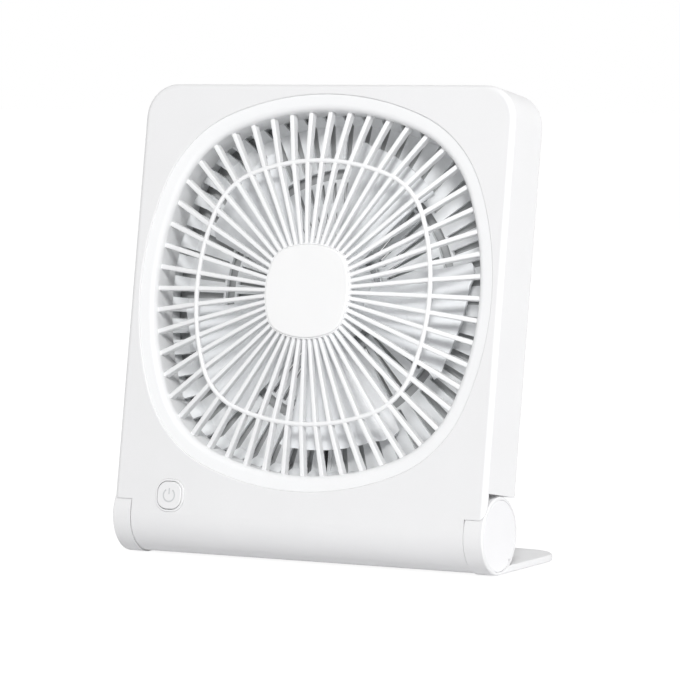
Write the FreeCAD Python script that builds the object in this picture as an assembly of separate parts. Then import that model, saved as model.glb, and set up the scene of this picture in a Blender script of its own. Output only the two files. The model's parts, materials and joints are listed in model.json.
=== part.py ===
import FreeCAD, Part
import math
import os

# A folding table fan: a flat square body with a grille, leaning back on a fold-out stand.
# Millimetres. The body is drawn upright about the hinge axis, which is the local X axis, with its
# front towards -Y, and is then leaned back and set at its place over the stand.

# Body
body_width = 215.0
body_top = 224.7            # hinge axis to the top edge
body_corner = 17.5          # radius of the two top corners
body_edge = 2.6             # rounding of the front and rear edges
wall = 2.2
barrel_radius = 19.2        # the round foot of the body, tangent to its front
lean = 9.4                  # degrees that the body leans back at rest

# Stand
ear_radius = 19.8
ear_width = 10.5
ear_gap = 0.5               # body to ear, along the axis and round it
ear_edge = 0.8
plate_thickness = 3.7
plate_reach = 78.0          # hinge axis to the back edge of the plate
plate_corner = 21.0
plate_edge = 1.2
plate_lip = 9.0             # hinge axis to the front edge of the plate between the ears
fold_gap = 0.4              # folded plate to the back of the body
pocket_front = 3.6          # depth of the front wall that is left beside the ear

# Foot pads
pad_radius = 5.0
pad_thickness = 1.2
pad_proud = 0.5
pad_inset = 15.0            # pad centre from the sides and the back edge of the plate
front_pad_length = 12.0
front_pad_width = 4.0
front_pad_back = 6.0        # front pad centre behind the hinge axis

# Ear caps and hinge
cap_radius = 18.0
cap_thickness = 1.8
cap_edge = 0.4
nick_width = 1.2
pin_radius = 4.0
pin_flange_radius = 9.0
pin_flange = 1.6
pin_length = 12.0           # length of the pin inside the body
bush_wall = 1.5
bush_length = 11.0
bush_boss_wall = 3.0
running_gap = 0.05
seat_gap = 0.1
hinge_screw_radius = 1.5
hinge_screw_length = 12.0
hinge_screw_head = 2.9
hinge_screw_head_height = 1.2

# Grille window
grille_height = 117.5       # hinge axis to the grille's centre
window_half = 93.7          # half of the clear window inside the bead
window_bow = 1.5            # radius of a side's arc over the half size
window_turn = 22.0          # degrees either side of the middle that a side's arc covers
bead_width = 8.3
bead_edge = 0.7             # bead's outer edge below the body's front
bead_shoulder = 1.1         # bead below the body's front where it starts to roll inwards
bead_roll = 3.9             # radius of the roll down to the window
bead_skirt = 14.6           # straight wall behind the rib ends
bead_stem = 4.2             # thickness of the bead's stem
skirt_wall = 2.2            # thickness of the stem behind the rib ends
skirt_step = 6.0            # rib ends to where the stem gets thinner
seat_depth = 1.4            # recess of the body's front that takes the bead
seat_round = 0.8            # rounding of the body's edge round the recess
groove = 0.05               # open line round the bead
stem_gap = 0.3
duct_wall = 1.6

# Front grille
rib_count = 52
rib_width_hub = 1.9
rib_width_rim = 2.45
rib_depth_hub = 2.2
rib_depth_rim = 3.9
rib_draft = 0.05            # widening of each side of a rib for its depth
rib_round = 0.65            # rounding of a rib's two front edges
rib_crest = 0.8             # height of the ribs over the body's front at the middle ring
hub_rise = 5.0              # height of the hub plate over the body's front
rib_step = 0.5              # hub plate to the ribs' inner ends
rib_root = 0.3              # length of a rib that is sunk in the hub plate
rib_tail = 1.3              # length of a rib that is sunk in the bead
hub_half = 24.6
hub_plate = 3.2
ring_half = 67.7
ring_wire = 2.5
ring_proud = 0.3            # middle ring in front of the ribs
ring_bow = 1.7
ring_turn = 20.0
badge_thickness = 1.4
badge_margin = 0.5
badge_edge = 0.8

# Rear grille
slot_count = 52
slot_phase = 0.5            # degrees from +X to the middle of the first front slot
front_slot_share = 0.34     # share of the pitch that is open in the front layer
rear_slot_share = 0.36
layer_thickness = 1.6
layer_front = 5.3           # front layer to the casing's back
funnel_gap = 0.6            # bead's stem to the funnel
funnel_run = 7.6            # how far the funnel draws in
funnel_wall = 2.2           # along the panel
rear_rim = 1.6
rear_ring_inner = 60.7
rear_ring_outer = 68.8
rear_ring_wall = 1.4
rear_disc_radius = 27.0
rear_disc_thickness = 3.2
rear_hub_wall = 2.4
rear_fit = 0.2
channel_width = 7.0
channel_groove = 3.0

# Impeller and motor
blade_count = 5
blade_tip = 80.0
blade_thickness = 1.7
blade_front = -7.4
blade_back = 7.0
blade_chord_hub = 25.0
blade_chord_tip = 66.0
blade_camber = 4.0
blade_corner = 12.0
impeller_hub = 24.0
impeller_front = -15.0
impeller_wall = 1.6
cup_wall = 1.0
magnet_wall = 1.6
air_gap = 0.5
stator_length = 9.0
stator_slots = 9
bearing_width = 4.0
bearing_radius = 4.0
shaft_radius = 1.5
tube_wall = 1.2
bracket_thickness = 2.2
motor_board_thickness = 1.0
motor_screw_radius = 1.25
motor_screw_circle = 19.0
nut_radius = 4.0
nut_height = 2.4

# Power button
button_inset = 33.5         # button centre from the body's left side
button_height = 9.5         # button centre above the hinge axis
button_width = 14.3
button_tall = 14.3
button_corner = 5.7
button_thickness = 2.0
button_proud = 0.9
button_gap = 0.3
button_travel = 0.8
button_stem = 2.4
button_ring_width = 1.1
button_ring_proud = 0.5
button_ring_depth = 4.4
plunger_radius = 1.6
switch_size = 6.2
switch_height = 3.2
board_thickness = 1.6
board_width = 34.0
board_tall = 22.0
board_depth = 8.8           # body's front to the front of the board
board_screw_radius = 1.2

# Battery
cell_radius = 9.1
cell_length = 65.0
cell_gap = 1.0
cell_drop = 2.0             # cells below the hinge axis
cradle_wall = 1.4

# Charging socket
socket_height = 44.0        # socket centre above the hinge axis
socket_depth = 9.0          # body's front to the socket's centre
socket_width = 8.9
socket_tall = 3.2
socket_length = 7.3
socket_wall = 0.35
socket_gap = 0.15
socket_recess = 0.4
tongue_thickness = 0.7
charge_board_length = 16.0
charge_board_width = 14.0
charge_post_radius = 1.6

# Case screws and leads
screw_radius = 1.4
screw_head_radius = 2.7
screw_head_height = 1.6
screw_length = 16.0
screw_sink = 2.6
post_wall = 2.2
corner_post_inset = 12.5
low_post_height = 31.0
low_post_inset = 16.0
barrel_post_side = 76.0
barrel_post_drop = 7.0
lead_radius = 1.0
lead_bend = 3.5

# Places worked out from the sizes above
body_half = body_width / 2
barrel_half = body_half - ear_width - ear_gap
front = -barrel_radius
back = ear_radius - plate_thickness - fold_gap
pocket_radius = ear_radius + ear_gap
rib_end = front + bead_shoulder + bead_roll
window_back = rib_end + bead_skirt
duct_offset = bead_stem + stem_gap
hub_front = front - hub_rise
rib_front = hub_front + rib_step
layer_y = back - layer_front
rear_layer_y = back - layer_thickness
rear_disc_front = back - rear_disc_thickness
bracket_front = rear_disc_front - bracket_thickness
hinge_place = FreeCAD.Vector(0, (ear_radius - plate_reach) / 2, ear_radius + pad_proud)
far = 400.0
X = FreeCAD.Vector(1, 0, 0)
Y = FreeCAD.Vector(0, 1, 0)
Z = FreeCAD.Vector(0, 0, 1)


def vec(x, y, z):
    return FreeCAD.Vector(x, y, z)


def box(x0, x1, y0, y1, z0, z1):
    return Part.makeBox(x1 - x0, y1 - y0, z1 - z0, vec(x0, y0, z0))


def rod(radius, start, end):
    return Part.makeCylinder(radius, (end - start).Length, start, end - start)


def tube(outer, inner, start, end):
    return rod(outer, start, end).cut(rod(inner, start, end))


def rod_y(radius, x, z, y0, y1):
    return rod(radius, vec(x, y0, z), vec(x, y1, z))


def joined(shapes):
    return shapes[0].multiFuse(shapes[1:]).removeSplitter()


def closed_face(start, *steps):
    """A face: each step is a point for a straight run, or a pair of points for an arc."""
    edges = []
    here = start
    for step in steps:
        if isinstance(step, tuple):
            middle, end = step
            edges.append(Part.Arc(here, middle, end).toShape())
        else:
            end = step
            edges.append(Part.makeLine(here, end))
        here = end
    if (here - start).Length > 1e-6:
        edges.append(Part.makeLine(here, start))
    return Part.Face(Part.Wire(edges))


def rounded(shape, radius, wanted):
    """Rounds the edges whose middle passes the test."""
    edges = [edge for edge in shape.Edges if wanted(edge.CenterOfMass)]
    return shape.makeFillet(radius, edges)


def arc_face(half_x, half_z, corner, x, y, z):
    """A rectangle with round corners, facing along Y."""
    slant = corner * (1 - math.sqrt(0.5))
    left, right, low, high = x - half_x, x + half_x, z - half_z, z + half_z
    return closed_face(
        vec(left + corner, y, low),
        vec(right - corner, y, low),
        (vec(right - slant, y, low + slant), vec(right, y, low + corner)),
        vec(right, y, high - corner),
        (vec(right - slant, y, high - slant), vec(right - corner, y, high)),
        vec(left + corner, y, high),
        (vec(left + slant, y, high - slant), vec(left, y, high - corner)),
        vec(left, y, low + corner),
        (vec(left + slant, y, low + slant), vec(left + corner, y, low)))


# Squircles: four shallow arcs for the sides and four tighter arcs for the corners, all tangent.

def squircle(half, bow, turn):
    """Side radius, corner radius, corner centre and turn of a squircle of this half size."""
    swing = math.radians(turn)
    side = bow * half
    corner = side - (side - half) / (math.cos(swing) - math.sin(swing))
    return {"half": half, "side": side, "corner": corner, "turn": turn,
            "centre": (side - corner) * math.sin(swing)}


def squircle_arcs(form):
    """Centre, radius, start angle and sweep of each arc, about the squircle's own middle."""
    arcs = []
    for quarter in range(4):
        angle = math.radians(90 * quarter)
        cos, sin = math.cos(angle), math.sin(angle)
        shift = form["half"] - form["side"]
        centre = form["centre"]
        arcs.append((shift * cos, shift * sin, form["side"],
                     90 * quarter - form["turn"], 2 * form["turn"]))
        arcs.append((centre * cos - centre * sin, centre * sin + centre * cos, form["corner"],
                     90 * quarter + form["turn"], 90 - 2 * form["turn"]))
    return arcs


def squircle_reach(form, degrees, offset=0.0):
    """Distance from the middle to the outline in this direction."""
    angle = math.radians(abs((degrees + 45) % 90 - 45))
    shift = form["side"] - form["half"]
    side = form["side"] + offset
    reach = -shift * math.cos(angle) + math.sqrt(side ** 2 - (shift * math.sin(angle)) ** 2)
    if reach * math.sin(angle) <= side * math.sin(math.radians(form["turn"])):
        return reach
    along = form["centre"] * (math.cos(angle) + math.sin(angle))
    corner = form["corner"] + offset
    return along + math.sqrt(along ** 2 - 2 * form["centre"] ** 2 + corner ** 2)


def squircle_prism(form, offset, y0, y1, height=grille_height):
    """A solid squircle between two depths."""
    edges = []
    for x, z, radius, start, sweep in squircle_arcs(form):
        points = []
        for share in (0, 0.5, 1):
            angle = math.radians(start + share * sweep)
            reach = radius + offset
            points.append(vec(x + reach * math.cos(angle), y0, height + z + reach * math.sin(angle)))
        edges.append(Part.Arc(*points).toShape())
    face = Part.Face(Part.Wire(edges))
    return face.extrude(vec(0, y1 - y0, 0))


def squircle_ring(form, section):
    """Carries a section round a squircle. The section is drawn from its radius, in plane Z = 0."""
    pieces = []
    for x, z, radius, start, sweep in squircle_arcs(form):
        centre = vec(x, 0, grille_height + z)
        face = section(radius)
        face.translate(centre)
        face.rotate(centre, vec(0, -1, 0), start)
        pieces.append(face.revolve(centre, vec(0, -1, 0), sweep))
    return joined(pieces)


window_form = squircle(window_half, window_bow, window_turn)
ring_form = squircle(ring_half, ring_bow, ring_turn)
hub_form = squircle(hub_half, ring_bow, ring_turn)


def duct(y0, y1):
    """The wall round the air way, between two depths."""
    inner = squircle_prism(window_form, duct_offset, y0, y1)
    outer = squircle_prism(window_form, duct_offset + duct_wall, y0, y1)
    return outer.cut(inner)


# Body casing

def slab(inset):
    """The flat part of the body, drawn in by a wall's thickness where inset is not 0."""
    half = body_half - inset
    top = body_top - inset
    corner = body_corner - inset
    slant = corner * (1 - math.sqrt(0.5))
    y0, y1 = front + inset, back - inset
    face = closed_face(
        vec(-half, y0, 0),
        vec(half, y0, 0),
        vec(half, y0, top - corner),
        (vec(half - slant, y0, top - slant), vec(half - corner, y0, top)),
        vec(-half + corner, y0, top),
        (vec(-half + slant, y0, top - slant), vec(-half, y0, top - corner)),
        vec(-half, y0, 0))
    solid = face.extrude(vec(0, y1 - y0, 0))
    if inset:
        return solid
    return rounded(solid, body_edge,
                   lambda p: p.z > 1 and (abs(p.y - y0) < 0.01 or abs(p.y - y1) < 0.01))


def ear_room(extra):
    """What the ears take out of the body's lower corners."""
    rooms = []
    for side in (-1, 1):
        start = barrel_half - extra
        cylinder = rod(pocket_radius + extra, vec(side * start, 0, 0), vec(side * far, 0, 0))
        x0, x1 = sorted((side * start, side * far))
        block = box(x0, x1, front + pocket_front - extra, far, -far, pocket_radius + extra)
        rooms += [cylinder, block]
    return joined(rooms)


def block():
    """The casing's outside, filled in."""
    outer = slab(0).fuse(rod(barrel_radius, vec(-barrel_half, 0, 0), vec(barrel_half, 0, 0)))
    return outer.cut(ear_room(0))


def casing():
    """Both halves of the casing before they get their own posts and openings."""
    outer = block()
    inner_half = barrel_half - wall
    hollow = slab(wall).fuse(rod(barrel_radius - wall, vec(-inner_half, 0, 0), vec(inner_half, 0, 0)))
    hollow = hollow.cut(ear_room(wall))
    shell = outer.cut(hollow)
    return shell


def post_places():
    """X and height of the six screw posts."""
    top = body_top - corner_post_inset
    corner = body_half - corner_post_inset
    low = body_half - low_post_inset
    places = []
    for side in (-1, 1):
        places.append((side * corner, top))
        places.append((side * low, low_post_height))
        places.append((side * barrel_post_side, -barrel_post_drop))
    return places


def screw_seat(z):
    """Depth of the screw head's outer face."""
    surface = back if z > 0 else math.sqrt(barrel_radius ** 2 - z ** 2)
    return surface - screw_sink


post_radius = screw_radius + post_wall
socket_x = -body_half
socket_y = front + socket_depth
charge_board_y = socket_y + socket_tall / 2 + 0.05
board_y = front + board_depth
board_x = button_inset - body_half
board_z = button_height + (board_tall / 2 - 5)


def inner_block():
    """Room for posts: the casing drawn in by half a wall, so that none of them shows outside."""
    inset = wall / 2
    half = barrel_half - inset
    return slab(inset).fuse(rod(barrel_radius - inset, vec(-half, 0, 0), vec(half, 0, 0)))


def charge_post_places():
    x = socket_x + wall + 0.6 + charge_board_length - 3
    return [(x, socket_height - charge_board_width / 2 + 2), (x, socket_height + charge_board_width / 2 - 2)]


def board_screw_places():
    return [(board_x + side * (board_width / 2 - 4), board_z + board_tall / 2 - 4) for side in (-1, 1)]


def front_shell():
    shell = casing().common(box(-far, far, -far, 0, -far, far))
    shell = shell.cut(squircle_prism(window_form, duct_offset, -far, 0))
    seat_y = front + seat_depth
    shell = shell.cut(squircle_prism(window_form, bead_width + groove, -far, seat_y))
    shell = shell.cut(squircle_ring(window_form, seat_round_section))
    posts = [rod_y(post_radius, x, z, front, 0) for x, z in post_places()]
    posts += [rod_y(board_screw_radius + 1.6, x, z, front, board_y) for x, z in board_screw_places()]
    posts += [rod_y(charge_post_radius, x, z, front, charge_board_y) for x, z in charge_post_places()]
    posts = joined(posts).common(inner_block())
    shell = joined([shell, duct(seat_y + 0.2, 0), posts] + hinge_boss_halves(-1))
    bores = [rod_y(screw_radius + running_gap, x, z, screw_seat(z) - screw_length - 1, 1)
             for x, z in post_places()]
    bores += [rod_y(board_screw_radius + running_gap, x, z, board_y - 5, board_y + 1)
              for x, z in board_screw_places()]
    bores.append(button_opening())
    bores.append(socket_opening())
    bores += hinge_bores()
    shell = shell.cut(joined(bores))
    return largest(shell)


def rear_shell():
    shell = casing().common(box(-far, far, 0, far, -far, far))
    shell = shell.cut(squircle_prism(window_form, duct_offset, 0, far))
    posts = [rod_y(screw_head_radius + post_wall, x, z, 0, back) for x, z in post_places()]
    posts = joined(posts).common(inner_block())
    shell = joined([shell, duct(0, back - wall / 2), posts] + hinge_boss_halves(1))
    bores = [rod_y(screw_radius + running_gap, x, z, -1, far) for x, z in post_places()]
    bores += [rod_y(screw_head_radius + seat_gap, x, z, screw_seat(z) - screw_head_height, far)
              for x, z in post_places()]
    bores += hinge_bores()
    bores.append(lead_notch())
    shell = shell.cut(joined(bores))
    return largest(shell)


def largest(shape):
    """The one solid that a cut leaves, without crumbs at the bores."""
    return max(shape.Solids, key=lambda solid: solid.Volume)


def lead_notch():
    """Opening in the foot of the duct for the motor's lead."""
    half = channel_groove / 2
    bottom = grille_height - window_half - duct_offset - duct_wall
    return box(-half, half, rear_disc_front - channel_groove, rear_disc_front, bottom - 2,
               bottom + duct_wall + 2)


def hinge_boss_halves(side):
    """The half bosses of one shell that clamp the hinge bushes."""
    radius = pin_radius + running_gap + bush_wall + bush_boss_wall
    halves = []
    for end in (-1, 1):
        boss = rod(radius, vec(end * (barrel_half - wall / 2), 0, 0),
                   vec(end * (barrel_half - bush_length), 0, 0))
        web = box(-1.2, 1.2, 0, barrel_radius - wall / 2, -1.2, 1.2)
        web.translate(vec(end * (barrel_half - bush_length / 2), 0, 0))
        rib = boss.fuse(web)
        rib = rib.fuse(web.mirror(vec(0, 0, 0), Y))
        half = box(-far, far, 0, far, -far, far) if side > 0 else box(-far, far, -far, 0, -far, far)
        halves.append(rib.common(half))
    return halves


def hinge_bores():
    radius = pin_radius + running_gap + bush_wall
    return [rod(radius, vec(end * (barrel_half + 1), 0, 0),
                vec(end * (barrel_half - bush_length - 1), 0, 0)) for end in (-1, 1)]


# Grille

def bead_section(radius):
    """Bead that rolls down into the window, with a stem behind it, drawn from the window's edge."""
    seat_y = front + seat_depth
    shoulder_y = front + bead_shoulder
    slant = bead_roll * (1 - math.sqrt(0.5))
    return closed_face(
        vec(radius + bead_width, seat_y, 0),
        vec(radius + bead_width, front + bead_edge, 0),
        vec(radius + bead_roll, shoulder_y, 0),
        (vec(radius + slant, shoulder_y + slant, 0), vec(radius, rib_end, 0)),
        vec(radius, window_back, 0),
        vec(radius + skirt_wall, window_back, 0),
        vec(radius + skirt_wall, rib_end + skirt_step, 0),
        vec(radius + bead_stem, rib_end + skirt_step, 0),
        vec(radius + bead_stem, seat_y, 0))


def seat_round_section(radius):
    """What the rounding takes off the body's edge round the bead's seat."""
    edge = radius + bead_width + groove
    slant = seat_round * (1 - math.sqrt(0.5))
    return closed_face(
        vec(edge - seat_round, front - 1, 0),
        vec(edge + seat_round, front - 1, 0),
        vec(edge + seat_round, front, 0),
        (vec(edge + slant, front + slant, 0), vec(edge, front + seat_round, 0)),
        vec(edge - seat_round, front + seat_round, 0))


def rib(degrees):
    """One rib in two straight runs that meet under the middle ring, with drafted sides."""
    hub_edge, ring_edge, rim_edge = [squircle_reach(form, degrees)
                                     for form in (hub_form, ring_form, window_form)]
    ring_front = front - rib_crest
    slopes = ((ring_front - rib_front) / (ring_edge - hub_edge),
              (rib_end - ring_front) / (rim_edge - ring_edge))
    reaches = (hub_edge - rib_root, ring_edge, rim_edge + rib_tail)
    fronts = (rib_front - rib_root * slopes[0], ring_front, rib_end + rib_tail * slopes[1])
    sections = []
    for reach, y in zip(reaches, fronts):
        share = (reach - hub_edge) / (rim_edge - hub_edge)
        half = (rib_width_hub + (rib_width_rim - rib_width_hub) * share) / 2
        depth = rib_depth_hub + (rib_depth_rim - rib_depth_hub) * share
        rear_half = half + depth * rib_draft
        sections.append([vec(reach, y, -half), vec(reach, y, half),
                         vec(reach, y + depth, rear_half), vec(reach, y + depth, -rear_half)])
    faces = [closed_face(*sections[0]), closed_face(*sections[-1])]
    middles = []
    for near, away in zip(sections, sections[1:]):
        middles.append((near[0] + near[1] + away[0] + away[1]) * 0.25)
        for corner, after in ((0, 1), (1, 2), (2, 3), (3, 0)):
            faces.append(closed_face(near[corner], near[after], away[after], away[corner]))
    solid = Part.Solid(Part.Shell(faces))
    solid = rounded(solid, rib_round,
                    lambda p: min((p - middle).Length for middle in middles) < 0.75 * rib_width_rim)
    solid.rotate(vec(0, 0, 0), vec(0, -1, 0), degrees)
    solid.translate(vec(0, 0, grille_height))
    return solid


def front_grille():
    pitch = 360.0 / rib_count
    ribs = [rib(index * pitch) for index in range(rib_count)]
    bead = squircle_ring(window_form, bead_section)
    ring_y = front - rib_crest - ring_proud + ring_wire / 2

    def wire_section(radius):
        circle = Part.makeCircle(ring_wire / 2, vec(radius, ring_y, 0), Z)
        return Part.Face(Part.Wire([circle]))

    ring = squircle_ring(ring_form, wire_section)
    plate = squircle_prism(hub_form, 0, hub_front, hub_front + hub_plate)
    grille = joined([bead, ring, plate] + ribs)
    recess = squircle_prism(hub_form, -badge_margin, hub_front - 5, hub_front + badge_thickness / 2)
    return largest(grille.cut(recess))


def hub_badge():
    y0 = hub_front - badge_thickness / 2
    badge = squircle_prism(hub_form, -badge_margin - seat_gap, y0, hub_front + badge_thickness / 2)
    return rounded(badge, badge_edge, lambda p: abs(p.y - y0) < 0.01)


def funnel_section(radius):
    """Hollow funnel from the bead's stem down to the slotted layers, drawn from the window's edge."""
    outer = radius + duct_offset - rear_fit
    mouth = window_back + funnel_gap
    foot = layer_y + layer_thickness
    top = outer - rear_rim
    lean_in = funnel_run / (foot - mouth)
    inner = top - funnel_run
    skin = closed_face(
        vec(outer, mouth, 0),
        vec(top, mouth, 0),
        vec(inner, foot, 0),
        vec(inner, back, 0),
        vec(outer, back, 0))
    room = closed_face(
        vec(top, mouth + funnel_wall / lean_in, 0),
        vec(inner + funnel_wall, foot, 0),
        vec(inner + funnel_wall, rear_layer_y, 0),
        vec(top, rear_layer_y, 0))
    return skin.cut(room).Faces[0]


def slots(first, share, inner, y0, y1):
    """Tapering radial slots all round, from a distance to beyond the rim."""
    outer = 1.5 * window_half
    pitch = 360.0 / slot_count
    narrow, broad = [math.pi * reach * share / slot_count for reach in (inner, outer)]
    wedges = []
    for index in range(slot_count):
        face = closed_face(
            vec(inner, y0, -narrow),
            vec(outer, y0, -broad),
            vec(outer, y0, broad),
            vec(inner, y0, narrow))
        wedge = face.extrude(vec(0, y1 - y0, 0))
        wedge.rotate(vec(0, 0, 0), vec(0, -1, 0), first + index * pitch)
        wedge.translate(vec(0, 0, grille_height))
        wedges.append(wedge)
    return Part.makeCompound(wedges)


def rear_grille():
    """Two slotted layers, each closing the other's slots, with a funnel round them."""
    rim_offset = duct_offset - rear_fit - rear_rim
    foot_offset = rim_offset - funnel_run
    hub_radius = rear_disc_radius + rear_hub_wall / 2
    bottom, top = on_axis(-far), on_axis(rear_layer_y)
    room = tube(rear_ring_outer - rear_ring_wall, rear_ring_inner + rear_ring_wall, bottom, top)
    ring = tube(rear_ring_outer, rear_ring_inner, on_axis(layer_y), on_axis(back)).cut(room)
    hub = tube(rear_disc_radius + rear_hub_wall, rear_disc_radius, on_axis(layer_y), on_axis(back))
    disc = rod(rear_disc_radius, on_axis(rear_disc_front), on_axis(back))

    front_slots = slots(slot_phase, front_slot_share, hub_radius, -far, rear_layer_y)
    front_slots = front_slots.common(squircle_prism(window_form, rim_offset, -far, rear_layer_y))
    layer = squircle_prism(window_form, foot_offset + 1, layer_y, layer_y + layer_thickness)
    layer = layer.cut(rod(rear_disc_radius, bottom, on_axis(far)))
    face = squircle_ring(window_form, funnel_section).fuse(layer).cut(front_slots).cut(room)

    rear_slots = slots(slot_phase + 180.0 / slot_count, rear_slot_share, hub_radius, -far, far)
    rear_slots = rear_slots.common(squircle_prism(window_form, foot_offset - 1, -far, far))
    rear_layer = squircle_prism(window_form, foot_offset + 1, rear_layer_y, back).cut(rear_slots)

    half = channel_width / 2
    foot = grille_height - window_half - rim_offset
    channel = box(-half, half, rear_disc_front - channel_groove, back, foot - rear_rim / 2,
                  grille_height - rear_disc_radius + 2)
    grille = joined([face, rear_layer, hub, ring, disc, channel])
    half = channel_groove / 2
    bores = [box(-half, half, -far, rear_disc_front, foot - 5, grille_height - lead_inner)]
    bores += [rod_y(motor_screw_radius + running_gap, x, z, rear_disc_front - 1, back + 1)
              for x, z in motor_screw_places()]
    bores += [rod_y(motor_screw_radius * 2 + seat_gap, x, z, back - 1.4, back + 1)
              for x, z in motor_screw_places()]
    return largest(grille.cut(joined(bores)))


def motor_screw_places():
    places = []
    for index in range(3):
        angle = math.radians(90 + 120 * index)
        places.append((motor_screw_circle * math.cos(angle),
                       grille_height + motor_screw_circle * math.sin(angle)))
    return places


# Motor and impeller

cup_outer = impeller_hub - impeller_wall - seat_gap
cup_inner = cup_outer - cup_wall
magnet_inner = cup_inner - magnet_wall
stator_radius = magnet_inner - air_gap
tube_inner = bearing_radius + running_gap / 2
tube_outer = tube_inner + tube_wall
cup_front = impeller_front + impeller_wall + seat_gap
stator_front = cup_front + cup_wall + 2.6
stator_back = stator_front + stator_length
tube_front = stator_front - 1.0
shaft_front = impeller_front - nut_height
board_front = bracket_front - motor_board_thickness
lead_inner = stator_radius - 0.8


def on_axis(y):
    return vec(0, y, grille_height)


def motor_bracket():
    plate = rod(rear_disc_radius - 2.5, on_axis(bracket_front), on_axis(rear_disc_front))
    post = rod(tube_outer, on_axis(tube_front), on_axis(bracket_front + 0.5))
    bracket = plate.fuse(post).cut(rod(tube_inner, on_axis(tube_front - 1), on_axis(bracket_front)))
    holes = [rod_y(motor_screw_radius + running_gap, x, z, bracket_front - 1, rear_disc_front + 1)
             for x, z in motor_screw_places()]
    notch = box(-channel_groove / 2, channel_groove / 2, bracket_front - 1, rear_disc_front + 1,
                grille_height - rear_disc_radius, grille_height - lead_inner)
    return largest(bracket.cut(joined(holes + [notch])))


def motor_screws():
    screws = []
    for x, z in motor_screw_places():
        seat = back - 1.4
        shank = rod_y(motor_screw_radius, x, z, bracket_front + 0.2, seat)
        head = rod_y(motor_screw_radius * 2, x, z, seat, back - 0.1)
        cross = cross_recess(x, z, back - 0.1, motor_screw_radius, -0.7)
        screws.append(shank.fuse(head).cut(cross))
    return screws


def cross_recess(x, z, y, half, depth):
    """A cross slot in a screw head whose face is at depth y."""
    y0, y1 = sorted((y + depth, y + 0.1 if depth < 0 else y - 0.1))
    across = box(x - half, x + half, y0, y1, z - half / 4, z + half / 4)
    return across.fuse(box(x - half / 4, x + half / 4, y0, y1, z - half, z + half))


def bearing(y0):
    """A small ball bearing as one closed ring with a groove each side between its races."""
    ring = tube(bearing_radius, shaft_radius + running_gap / 2, on_axis(y0), on_axis(y0 + bearing_width))
    middle = (bearing_radius + shaft_radius) / 2
    dents = [tube(middle + 0.5, middle - 0.5, on_axis(y0 - 1), on_axis(y0 + 0.4)),
             tube(middle + 0.5, middle - 0.5, on_axis(y0 + bearing_width - 0.4),
                  on_axis(y0 + bearing_width + 1))]
    return ring.cut(dents[0]).cut(dents[1])


def stator_core():
    """Laminated core: a ring and a tooth with a wide tip for each slot."""
    inner = tube_outer + running_gap
    yoke = tube(inner + 2.6, inner, on_axis(stator_front), on_axis(stator_back))
    teeth = []
    for index in range(stator_slots):
        tooth = box(inner + 2, stator_radius - 1.4, stator_front, stator_back, -1.1, 1.1)
        tip = tube(stator_radius, stator_radius - 1.6, vec(0, stator_front, 0), vec(0, stator_back, 0))
        reach = math.radians(0.78 * 180 / stator_slots)
        edge = stator_radius + 2
        wedge = closed_face(vec(0, stator_front, 0),
                            vec(edge, stator_front, -edge * math.tan(reach)),
                            vec(edge, stator_front, edge * math.tan(reach)))
        tip = tip.common(wedge.extrude(vec(0, stator_length, 0)))
        piece = tooth.fuse(tip)
        piece.rotate(vec(0, 0, 0), Y, index * 360.0 / stator_slots)
        piece.translate(vec(0, 0, grille_height))
        teeth.append(piece)
    return largest(joined([yoke] + teeth))


def stator_coils():
    """One coil round each tooth."""
    inner = tube_outer + running_gap
    x0, x1 = inner + 3.2, stator_radius - 2.2
    coils = []
    for index in range(stator_slots):
        outer = box(x0, x1, stator_front - 1.5, stator_back + 1.5, -2.2, 2.2)
        hole = box(x0 - 1, x1 + 1, stator_front - 0.1, stator_back + 0.1, -1.2, 1.2)
        limit = math.tan(math.radians(180.0 / stator_slots)) * 0.94
        wedge = closed_face(vec(0, 0, 0), vec(far, 0, -far * limit), vec(far, 0, far * limit))
        wedge = wedge.extrude(vec(0, far, 0)).fuse(wedge.extrude(vec(0, -far, 0)))
        coil = outer.cut(hole).common(wedge)
        coil.rotate(vec(0, 0, 0), Y, index * 360.0 / stator_slots)
        coil.translate(vec(0, 0, grille_height))
        coils.append(largest(coil))
    return coils


def motor_board():
    board = tube(stator_radius - 1, tube_outer + running_gap, on_axis(board_front - seat_gap),
                 on_axis(bracket_front - seat_gap))
    holes = [rod_y(motor_screw_radius * 2, x, z, board_front - 1, bracket_front + 1)
             for x, z in motor_screw_places()]
    return largest(board.cut(joined(holes)))


def rotor_cup():
    cup_back = stator_back - 0.5
    cup = rod(cup_outer, on_axis(cup_front), on_axis(cup_back))
    cup = cup.cut(rod(cup_inner, on_axis(cup_front + cup_wall), on_axis(cup_back + 1)))
    collar = rod(shaft_radius + 1.6, on_axis(cup_front), on_axis(cup_front + cup_wall + 1.2))
    return cup.fuse(collar).cut(rod(shaft_radius, on_axis(cup_front - 1), on_axis(cup_front + 9)))


def magnet_ring():
    return tube(cup_inner, magnet_inner, on_axis(cup_front + cup_wall + 0.4), on_axis(stator_back - 0.8))


def motor_shaft():
    shaft = rod(shaft_radius, on_axis(shaft_front), on_axis(bracket_front - 0.6))
    return rounded(shaft, 0.3, lambda p: abs(p.y - shaft_front) < 0.01)


def impeller_nut():
    """Domed round nut that holds the impeller on the shaft."""
    nut = rod(nut_radius, on_axis(impeller_front - nut_height), on_axis(impeller_front))
    nut = rounded(nut, 1.2, lambda p: abs(p.y - impeller_front + nut_height) < 0.01)
    return nut.cut(rod(shaft_radius, on_axis(impeller_front - 9), on_axis(impeller_front + 1)))


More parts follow.
